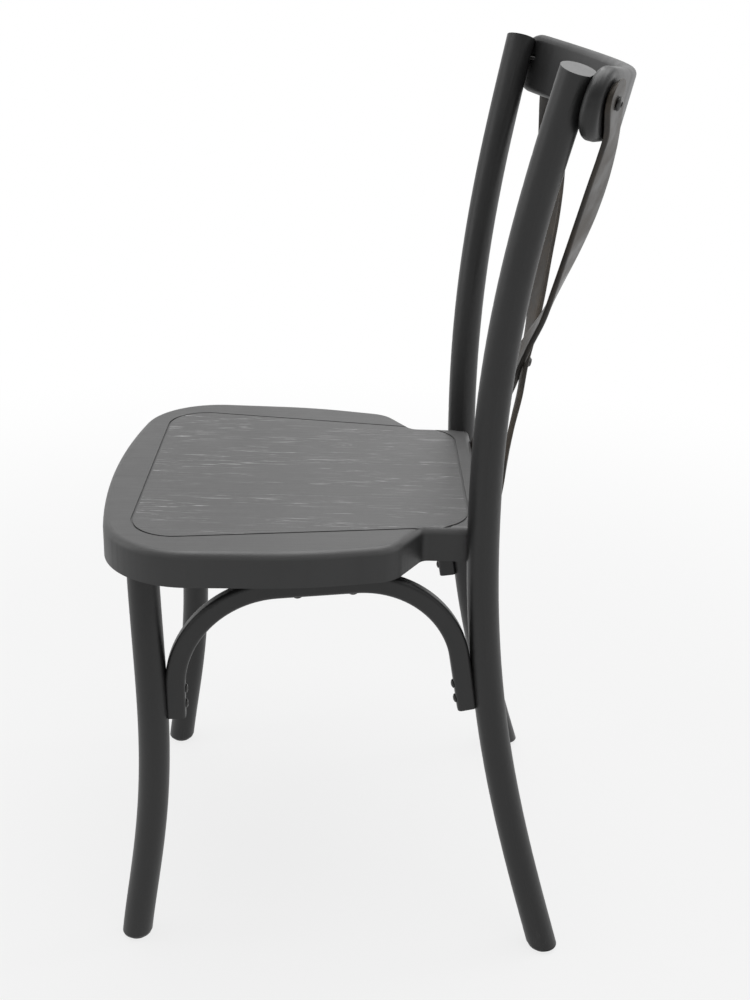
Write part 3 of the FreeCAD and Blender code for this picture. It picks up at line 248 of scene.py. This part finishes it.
def makeSurround():
    sizes = stageSizes
    world = bpy.data.worlds.new("whiteSurround")
    world.use_nodes = True
    scene.world = world
    finish = Finish("whiteSurround", world.node_tree)
    world.node_tree.nodes.clear()
    sideways = finish.split(finish.node("ShaderNodeTexCoord"))[0]
    isCamera = finish.node("ShaderNodeLightPath")
    bright = finish.larger(isCamera, finish.between(sideways, sizes["darkFrom"], 0.0))
    shown = finish.node("ShaderNodeMixShader", inputs={
        0: bright, 1: glow(finish, sizes["darkSide"]), 2: glow(finish, 1.0)})
    mixed = finish.node("ShaderNodeMixShader", inputs={
        0: seenRays(finish), 1: glow(finish, sizes["worldLevel"]), 2: shown})
    output = world.node_tree.nodes.new("ShaderNodeOutputWorld")
    world.node_tree.links.new(mixed.socket, output.inputs["Surface"])


# place, aim, width, height, watts
lamps = {
    "overhead": ((-0.3, 0.1, 2.6), (0, 0, 0.4), 2.2, 2.2, 46),
    "rearSide": ((-0.8, 2.3, 1.3), (0, 0.1, 0.6), 0.7, 1.8, 9),
    "frontSide": ((0.2, -2.4, 1.2), (0, 0, 0.5), 0.8, 1.8, 7),
}


def makeLamps():
    for name, (place, aim, width, height, watts) in lamps.items():
        data = bpy.data.lights.new(name, "AREA")
        data.shape, data.size, data.size_y, data.energy = "RECTANGLE", width, height, watts
        lamp = bpy.data.objects.new(name, data)
        lamp.location = place
        lamp.rotation_mode = "QUATERNION"
        lamp.rotation_quaternion = (Vector(aim) - Vector(place)).to_track_quat("-Z", "Y")
        scene.collection.objects.link(lamp)


makeFloor()
makeSurround()
makeLamps()
print("stage and lamps made")


# resin of the posts, legs, arches and top rail

resinLook = {
    "dark": grey(0.0155, -0.01),
    "light": grey(0.0235, -0.01),
    "scuffed": grey(0.065, 0.01),
    "postTopHighlight": grey(0.16),  # painted highlight on the posts' cut top ends, standing in for overhead light
    "specular": 0.42,
    "roughness": (0.36, 0.47),
    "scuffHeight": 0.045,  # legs are rubbed paler below this
    "highlightAbove": (0.870, 0.875), "highlightAhead": (0.195, 0.190),  # where the painted highlight on the posts' top end faces lies
    "highlightFacing": (0.90, 0.93),
    "cloudScale": 11,
    "flowScale": (60, 60, 7),
    "scratchScale": (260, 260, 24),
    "peelScale": 240,
    "pebbleScale": 1500,
}


def makeFrameResin():
    look = resinLook
    finish = Finish("frameResin")
    place = finish.place()
    clouds = finish.noise(place, look["cloudScale"], 4)
    flow = finish.noise(finish.stretched(place, look["flowScale"]), 1.0, 3, 0.6)
    pebbles = finish.noise(place, look["pebbleScale"], 2, 0.5)
    peel = finish.noise(place, look["peelScale"], 2, 0.5)
    y, z = finish.split(place)[1:]
    low = finish.between(z, look["scuffHeight"], 0.0)
    scratches = finish.noise(finish.stretched(place, look["scratchScale"]), 1.0, 4, 0.7)
    scratches = finish.ramp(scratches, [(0.56, 0), (0.70, 1)])
    rare = finish.ramp(finish.noise(place, 17, 2), [(0.55, 0), (0.75, 1)])
    worn = finish.smaller(scratches * (low * 0.55 + rare * 0.22), 1.0)
    colour = finish.blend(clouds * 0.6 + flow * 0.4, look["dark"], look["light"])
    # painted highlight: upward faces at the tops of the posts are lightened as if lit from
    # overhead
    facing = finish.split(finish.node("ShaderNodeNewGeometry", output="Normal"))[2]
    paintedHighlight = finish.between(facing, *look["highlightFacing"]) * finish.between(z, *look["highlightAbove"])
    paintedHighlight = paintedHighlight * finish.between(y, *look["highlightAhead"])
    colour = finish.blend(paintedHighlight * (0.6 + pebbles * 0.4), colour, look["postTopHighlight"])
    finish.set(Base_Color=finish.blend(worn, colour, look["scuffed"]),
               Roughness=finish.between(flow * 0.5 + clouds * 0.5, 0.3, 0.7, *look["roughness"])
               + worn * 0.12, Specular_IOR_Level=look["specular"])
    coarse = finish.relief(peel + worn * 0.5, 0.10, 0.0006)
    finish.set(Normal=finish.relief(pebbles, 0.16, 0.00025, coarse))
    return finish.material


# resin of the seat: wood grain moulded inside the groove, fine stipple around it

seatLook = {
    # the top's dark and light tones sit well above the skirt's on one black shell: the grain's own
    # tone plus painted light from overhead
    "dark": grey(0.036, 0.0),
    "light": grey(0.110, 0.0),
    "grainGlint": grey(0.36, 0.0),
    "skirt": grey(0.028, -0.01),
    "specular": 0.5,
    "roughness": (0.40, 0.54),
    "frontWide": 0.1900, "rearNarrow": 0.1430,  # half widths of the grained field
    "front": -0.2130, "rear": 0.1165,
    "corner": 0.043,
    "boardPitch": 0.0475,  # the grain comes in boards of this width
    "boardCount": 100.5,  # keeps the boards' numbers above zero, with a board on the middle line
    "topStarts": (0.4535, 0.4550), "skirtStarts": (0.4515, 0.4475),
    "fieldFades": (-0.0012, -0.0026),
    "sheenTowardsBack": (-0.17, 0.12),  # painted sheen, lighter towards the back
    "fibreScale": (520, 13, 1),
    "poreScale": (330, 24, 1),
    "swellScale": (40, 6, 1),
    "bendScale": (16, 5, 1), "bendReach": 0.008,
    "pebbleScale": 1300,
}


def grainField(finish, x, y):
    look = seatLook
    slope = (look["rearNarrow"] - look["frontWide"]) / (look["rear"] - look["front"])
    reach = (y - look["front"]) * slope + look["frontWide"]
    aside = abs(x) - reach + look["corner"]
    along = finish.larger(look["front"] - y, y - look["rear"]) + look["corner"]
    outX, outY = finish.larger(aside, 0.0), finish.larger(along, 0.0)
    away = (outX * outX + outY * outY) ** 0.5
    away = away + finish.smaller(finish.larger(aside, along), 0.0) - look["corner"]
    return finish.between(away, *look["fieldFades"])


def makeSeatResin():
    look = seatLook
    finish = Finish("seatResin")
    place = finish.place()
    x, y, z = finish.split(place)
    onTop = finish.between(z, *look["topStarts"])
    field = grainField(finish, x, y) * onTop
    # each board shifts its grain lengthwise and bends it a little
    board = finish.node("ShaderNodeMath", {"operation": "FLOOR"},
                        {0: x / look["boardPitch"] + look["boardCount"]})
    shift = finish.node("ShaderNodeTexWhiteNoise", {"noise_dimensions": "1D"}, {"W": board})
    bend = finish.noise(finish.stretched(place, look["bendScale"]), 1.0, 2)
    grainPlace = finish.node("ShaderNodeCombineXYZ", inputs={
        0: x + bend * look["bendReach"], 1: y + shift * 0.9, 2: board * 0.37})
    fibres = finish.noise(finish.stretched(grainPlace, look["fibreScale"]), 1.0, 4, 0.62)
    pores = finish.noise(finish.stretched(grainPlace, look["poreScale"]), 1.0, 3, 0.7, 0.4)
    swell = finish.noise(finish.stretched(grainPlace, look["swellScale"]), 1.0, 3, 0.5)
    streaks = finish.ramp(pores, [(0.56, 0), (0.66, 1)])
    streaks = streaks * finish.ramp(swell, [(0.42, 0), (0.62, 1)])
    seam = finish.node("ShaderNodeMath", {"operation": "PINGPONG"},
                       {0: x + look["boardCount"] * look["boardPitch"], 1: look["boardPitch"]})
    pebbles = finish.noise(place, look["pebbleScale"], 2, 0.5)
    clouds = finish.noise(place, 9, 4)
    tone = clouds * 0.4 + (fibres * 1.6 - 0.5) * field * 0.6 + (1 - field) * 0.15
    # painted sheen: the top is lightened towards the back
    tone = tone + finish.between(y, *look["sheenTowardsBack"], 0.0, 0.45)
    colour = finish.blend(tone, look["dark"], look["light"])
    # the grain's pattern with painted glints: pale dashes where its pores catch the light
    colour = finish.blend(streaks * field * 0.85, colour, look["grainGlint"])
    colour = finish.blend(finish.between(z, *look["skirtStarts"]), colour, look["skirt"])
    rubbed = finish.ramp(finish.noise(place, 30, 4, 0.7), [(0.45, 0), (0.7, 1)]) * onTop
    finish.set(Base_Color=colour,
               Roughness=finish.between(clouds * 0.5 + fibres * 0.5, 0.3, 0.7, *look["roughness"])
               - rubbed * 0.05, Specular_IOR_Level=look["specular"])
    height = fibres * 0.45 + streaks * 0.8 - finish.between(seam, 0.0011, 0.0, 0.0, 0.5)
    grain = finish.relief(height * field, 0.8, 0.0010)
    finish.set(Normal=finish.relief(pebbles, 0.16, 0.00025, grain))
    return finish.material


# metal of the crossing slats: dark oxide with a brown cast

slatLook = {
    "dark": grey(0.015, 0.12),
    "light": grey(0.030, 0.30),
    "bare": grey(0.075, 0.22),
    "metallic": 0.35,
    "roughness": (0.34, 0.52),
}


def makeSlatSteel():
    look = slatLook
    finish = Finish("slatSteel")
    place = finish.place()
    patches = finish.noise(place, 26, 5, 0.62)
    rolled = finish.noise(finish.stretched(place, (70, 300, 22)), 1.0, 3, 0.6)
    specks = finish.ramp(finish.noise(place, 420, 3, 0.6), [(0.60, 0), (0.72, 1)])
    tone = finish.between(patches * 0.65 + rolled * 0.35, 0.36, 0.64)
    colour = finish.blend(tone, look["dark"], look["light"])
    finish.set(Base_Color=finish.blend(specks * 0.3, colour, look["bare"]),
               Roughness=finish.between(patches, 0.3, 0.7, *look["roughness"]),
               Metallic=look["metallic"])
    finish.set(Normal=finish.relief(rolled * 0.6 + specks * 0.4, 0.12, 0.0003))
    return finish.material


# small metal pieces: one recipe, several colours

metalLooks = {
    "blackSteel": {"dark": grey(0.035, 0.0), "light": grey(0.075, 0.02), "rough": (0.30, 0.46)},
    "zincSteel": {"dark": grey(0.42, -0.03), "light": grey(0.62, -0.02), "rough": (0.24, 0.42)},
    "insertBrass": {
        "dark": (0.42, 0.28, 0.10, 1), "light": (0.68, 0.48, 0.20, 1), "rough": (0.22, 0.40)},
}


def makeMetal(name):
    look = metalLooks[name]
    finish = Finish(name)
    place = finish.place()
    spangle = finish.node("ShaderNodeTexVoronoi", {"feature": "F1"},
                          {"Vector": place, "Scale": 900})
    stain = finish.noise(place, 160, 4, 0.6)
    turning = finish.noise(place, 2600, 2, 0.5)
    colour = finish.blend(stain * 0.7 + spangle * 0.3, look["dark"], look["light"])
    finish.set(Base_Color=colour, Metallic=1.0,
               Roughness=finish.between(stain, 0.3, 0.7, *look["rough"]))
    finish.set(Normal=finish.relief(turning, 0.10, 0.0001))
    return finish.material


# nylon of the floor glides

glideLook = {
    "dark": grey(0.020),
    "light": grey(0.036),
    "dust": grey(0.16, 0.05),
    "dustHeight": 0.0022,
    "roughness": (0.50, 0.68),
}


def makeGlideNylon():
    look = glideLook
    finish = Finish("glideNylon")
    place = finish.place()
    z = finish.split(place)[2]
    clouds = finish.noise(place, 90, 3)
    scratches = finish.noise(finish.stretched(place, (2200, 300, 300)), 1.0, 3, 0.7)
    dusty = finish.between(z, look["dustHeight"], 0.0) * finish.between(scratches, 0.4, 0.65)
    colour = finish.blend(clouds, look["dark"], look["light"])
    finish.set(Base_Color=finish.blend(dusty * 0.7, colour, look["dust"]),
               Roughness=finish.between(clouds, 0.3, 0.7, *look["roughness"]) + dusty * 0.15)
    finish.set(Normal=finish.relief(scratches, 0.12, 0.0002))
    return finish.material


finishes = {
    "frameResin": makeFrameResin(),
    "seatResin": makeSeatResin(),
    "slatSteel": makeSlatSteel(),
    "glideNylon": makeGlideNylon(),
    **{name: makeMetal(name) for name in metalLooks},
}
print("finishes made:", ", ".join(finishes))

nodeFinishes = {
    "seat_shell": "seatResin",
    "cross_slat_front": "slatSteel",
    "cross_slat_rear": "slatSteel",
    "crossing_nut": "blackSteel",
    "seat_bolt_washers": "zincSteel",
    "post_inserts": "insertBrass",
    **{f"glide_{end}_{side}": "glideNylon"
       for end in ("front", "rear") for side in ("left", "right")},
}


def dressNodes():
    for name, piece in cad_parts.items():
        finish = finishes[nodeFinishes.get(name, "frameResin")]
        piece.data.materials.clear()
        piece.data.materials.append(finish)


dressNodes()
print("nodes dressed")


# pieces made of rings of corners, each in place of a plain one


def skinRings(first, ringCount, around):
    # quads between the rings and a flat face at each end; outward when the rings run down the
    # axis that they turn about
    faces = []
    for ring in range(ringCount - 1):
        low = first + ring * around
        for step in range(around):
            after = (step + 1) % around
            faces.append((low + step, low + around + step, low + around + after, low + after))
    last = first + (ringCount - 1) * around
    faces.append([first + step for step in range(around)])
    faces.append([last + step for step in reversed(range(around))])
    return faces


def addPiece(node, suffix, corners, faces, finish, crease):
    mesh = bpy.data.meshes.new(node + suffix)
    mesh.from_pydata(corners, [], faces)
    mesh.shade_smooth()
    mesh.set_sharp_from_angle(angle=math.radians(crease))
    mesh.materials.append(finishes[finish])
    piece = bpy.data.objects.new(node + suffix, mesh)
    scene.collection.objects.link(piece)
    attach(piece, "root")
    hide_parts(node)


# crossing slats: bent and twisted strips with rounded edges

# height, depth in mm and turn in degrees, then how far a slat passes ahead of or behind the other
slatRoute = [
    (400, 138.7, 0, 0), (447, 138.7, 0, 0), (463, 144.0, -3, 0.4), (482, 150.2, -8, 0.8),
    (504, 154.8, -10, 1.0), (530, 160.6, -10, 2.2), (556, 167.3, -8, 3.25),
    (583.5, 172.2, -3, 3.25), (610, 179.0, 2.5, 3.25), (640, 186.8, 9.6, 1.9),
    (680, 193.8, 18.1, 1.5), (720, 200.4, 25.6, 1.5), (760, 205.3, 29.4, 1.2),
    (795, 207.6, 28.6, 0.6), (820, 208.2, 25.2, 0), (836, 208.2, 22.7, 0),
    (852, 206.2, 24.3, 0), (867, 203.9, 25.7, 0), (884, 201.1, 27.4, 0),
]
slatSizes = {
    "width": 31, "thickness": 6, "edge": 1.6,
    "crossing": 583.5, "foot": 437, "tip": 867,
    "tipSide": 216.8, "footSide": 112,
    "sections": 180,  # along the straight run
    "capAngles": (4, 14, 26, 38, 50, 62, 76),  # sections around each round end, in degrees
    "crease": 50,
}


def smoothRoute():
    rows = np.array(slatRoute, float)
    heights = rows[:, 0]
    slopes = np.gradient(rows[:, 1:], heights, axis=0)

    def at(z):
        z = min(max(z, heights[0]), heights[-1])
        i = min(max(int(np.searchsorted(heights, z)) - 1, 0), len(heights) - 2)
        span = heights[i + 1] - heights[i]
        t = (z - heights[i]) / span
        a, b = rows[i, 1:], rows[i + 1, 1:]
        da, db = slopes[i] * span, slopes[i + 1] * span
        return ((2 * t**3 - 3 * t**2 + 1) * a + (t**3 - 2 * t**2 + t) * da
                + (3 * t**2 - 2 * t**3) * b + (t**3 - t**2) * db)
    return at


def slatSection(half, thick, edge):
    # outline of a strip with rounded edges: across the width, then through the thickness
    edge = min(edge, half * 0.9, thick * 0.49)
    outline = []
    for cornerX, cornerY, start in ((1, 1, 0), (-1, 1, 90), (-1, -1, 180), (1, -1, 270)):
        for step in range(5):
            angle = math.radians(start + 22.5 * step)
            outline.append((cornerX * (half - edge) + edge * math.cos(angle),
                            cornerY * (thick - edge) + edge * math.sin(angle)))
        if cornerX * cornerY > 0:
            for share in (0.6, 0.2, -0.2, -0.6):
                outline.append((cornerX * share * (half - edge), cornerY * thick))
    return outline


def makeSlat(node, side, layer):
    sizes = slatSizes
    at = smoothRoute()
    slope = (sizes["tipSide"] + sizes["footSide"]) / (sizes["tip"] - sizes["foot"])
    run = Vector((slope, 1)).normalized()
    across = Vector((run.y, -run.x))
    length = (sizes["tip"] - sizes["foot"]) / run.y
    half = sizes["width"] / 2
    start = Vector((-sizes["footSide"], sizes["foot"]))

    def point(flat, off):
        x, z = flat
        depth, turn, passing = at(z)
        turn = math.radians(turn)
        middle = (z - sizes["crossing"]) * slope
        y = depth + layer * passing - math.tan(turn) * (x - middle)
        lean = (at(z + 1)[0] - at(z - 1)[0]) / 2
        normal = Vector((math.tan(turn), 1, -lean + math.tan(turn) * slope)).normalized()
        spot = Vector((x, y, z)) + normal * off
        return Vector((side * spot.x, spot.y, spot.z)) * mm

    cap = [1 - math.cos(math.radians(angle)) for angle in sizes["capAngles"]]
    sections = sizes["sections"]
    places = [-half + half * share for share in cap]
    places += [length * step / sections for step in range(sections + 1)]
    places += [length + half - half * share for share in reversed(cap)]
    corners = []
    for along in places:
        beyond = max(-along, along - length, 0)
        reach = math.sqrt(max(half**2 - beyond**2, 0.5))
        for a, b in slatSection(reach, sizes["thickness"] / 2, sizes["edge"]):
            corners.append(point(start + run * along + across * a, b))
    faces = skinRings(0, len(places), len(corners) // len(places))
    if side > 0:
        faces = [face[::-1] for face in faces]
    addPiece(node, ".strip", corners, faces, "slatSteel", sizes["crease"])


makeSlat("cross_slat_front", 1, -1)
makeSlat("cross_slat_rear", -1, 1)
print("slats bent")


# screws: turned heads with a hexagon socket and a cut thread

# head and shank diameters, head height, socket width, thread pitch and plain neck in mm, finish
screwSizes = {
    "rail_screws": (12, 6, 3.0, 4.0, 1.0, 8, "blackSteel"),
    "crossing_screw": (11, 5, 2.4, 3.0, 0.8, 2, "blackSteel"),
    "slat_foot_screws": (8.5, 4, 2.2, 2.5, 0.7, 4, "blackSteel"),
    "arch_leg_screws": (9, 4.5, 2.6, 3.0, 1.6, 14, "blackSteel"),
    "arch_post_screws": (9, 4.5, 2.6, 3.0, 1.6, 14, "blackSteel"),
    "arch_seat_screws": (9, 4.5, 2.6, 3.0, 1.6, 14, "blackSteel"),
    "leg_socket_screws": (9.5, 5, 2.8, 3.0, 1.8, 5, "zincSteel"),
    "seat_bolts": (13, 8, 4.0, 5.0, 1.25, 30, "zincSteel"),
}
cornersAround = 48
screwCrease = 38
weldGrid = 0.005 * mm


def looseParts(mesh):
    corners = np.array([vertex.co for vertex in mesh.vertices])
    keys = [tuple(row) for row in np.round(corners / weldGrid).astype(int)]
    root = {key: key for key in keys}

    def top(key):
        while root[key] != key:
            root[key] = root[root[key]]
            key = root[key]
        return key

    for edge in mesh.edges:
        root[top(keys[edge.vertices[0]])] = top(keys[edge.vertices[1]])
    groups = {}
    for key, corner in zip(keys, corners):
        groups.setdefault(top(key), []).append(corner)
    return [np.array(group) for group in groups.values()]


def screwFrame(points):
    # the long way is the axis, and the wide end is the head
    middle = (points.max(0) + points.min(0)) / 2
    axis = np.linalg.svd(points - points.mean(0), full_matrices=False)[2][0]
    along = (points - middle) @ axis
    aside = np.linalg.norm((points - middle) - np.outer(along, axis), axis=1)
    if along[aside.argmax()] < 0:
        axis, along = -axis, -along
    spine = points[aside < aside.max() * 0.75].mean(0)
    spine = spine - axis * ((spine - middle) @ axis)
    return Vector(spine + axis * along.max()), Vector(axis), along.max() - along.min()


def hexReach(angle, width):
    return width / 2 / math.cos((angle + math.pi / 6) % (math.pi / 3) - math.pi / 6)


def screwRings(length, head, shank, crown, socket, pitch, neck):
    # each ring is a height below the top of the head and a reach for every angle
    deep = crown * 0.75
    rings = [
        (deep, lambda a: hexReach(a, socket) * 0.98),
        (0.25 * mm, lambda a: hexReach(a, socket)),
        (0.0, lambda a: hexReach(a, socket) * 1.08),
    ]
    for share in (0.30, 0.55, 0.75, 0.90, 0.98):
        rise = crown * 0.72 * (1 - math.sqrt(1 - share ** 2))
        rings.append((rise, lambda a, r=head / 2 * share, s=socket: max(r, hexReach(a, s) * 1.12)))
    rings += [
        (crown * 0.70, lambda a: head / 2),
        (crown - 0.2 * mm, lambda a: head / 2),
        (crown, lambda a: head / 2 - 0.2 * mm),
        (crown, lambda a: shank / 2),
        (crown + neck, lambda a: shank / 2),
    ]
    start, end, cut = crown + neck, length - shank * 0.35, 0.16 * pitch + 0.08 * shank
    steps = max(int((end - start) / pitch * 5), 2)
    for step in range(1, steps + 1):
        depth = start + (end - start) * step / steps

        def threaded(a, depth=depth):
            turn = (depth / pitch - a / (2 * math.pi)) % 1
            ease = min(1, (depth - start) / pitch, (end - depth) / pitch + 0.3)
            return shank / 2 - cut * ease * abs(2 * turn - 1)
        rings.append((depth, threaded))
    rings.append((length, lambda a: shank * 0.18))
    return rings


def makeScrews(node, sizes):
    head, shank, crown, socket, pitch, neck = (value * mm for value in sizes[:6])
    corners, faces = [], []
    for points in looseParts(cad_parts[node].data):
        topPoint, axis, length = screwFrame(points)
        turn = axis.to_track_quat("Z", "Y")
        first = len(corners)
        rings = screwRings(length, head, shank, crown, socket, pitch, neck)
        for depth, reach in rings:
            for step in range(cornersAround):
                angle = 2 * math.pi * step / cornersAround
                flat = Vector((math.cos(angle), math.sin(angle), 0)) * reach(angle)
                corners.append(topPoint + turn @ (flat - Vector((0, 0, depth))))
        faces += skinRings(first, len(rings), cornersAround)
    addPiece(node, ".turned", corners, faces, sizes[6], screwCrease)


for node, sizes in screwSizes.items():
    makeScrews(node, sizes)
print("screws turned:", len(screwSizes), "sets")


def plain(box):
    return [list(map(float, corner)) for corner in box]
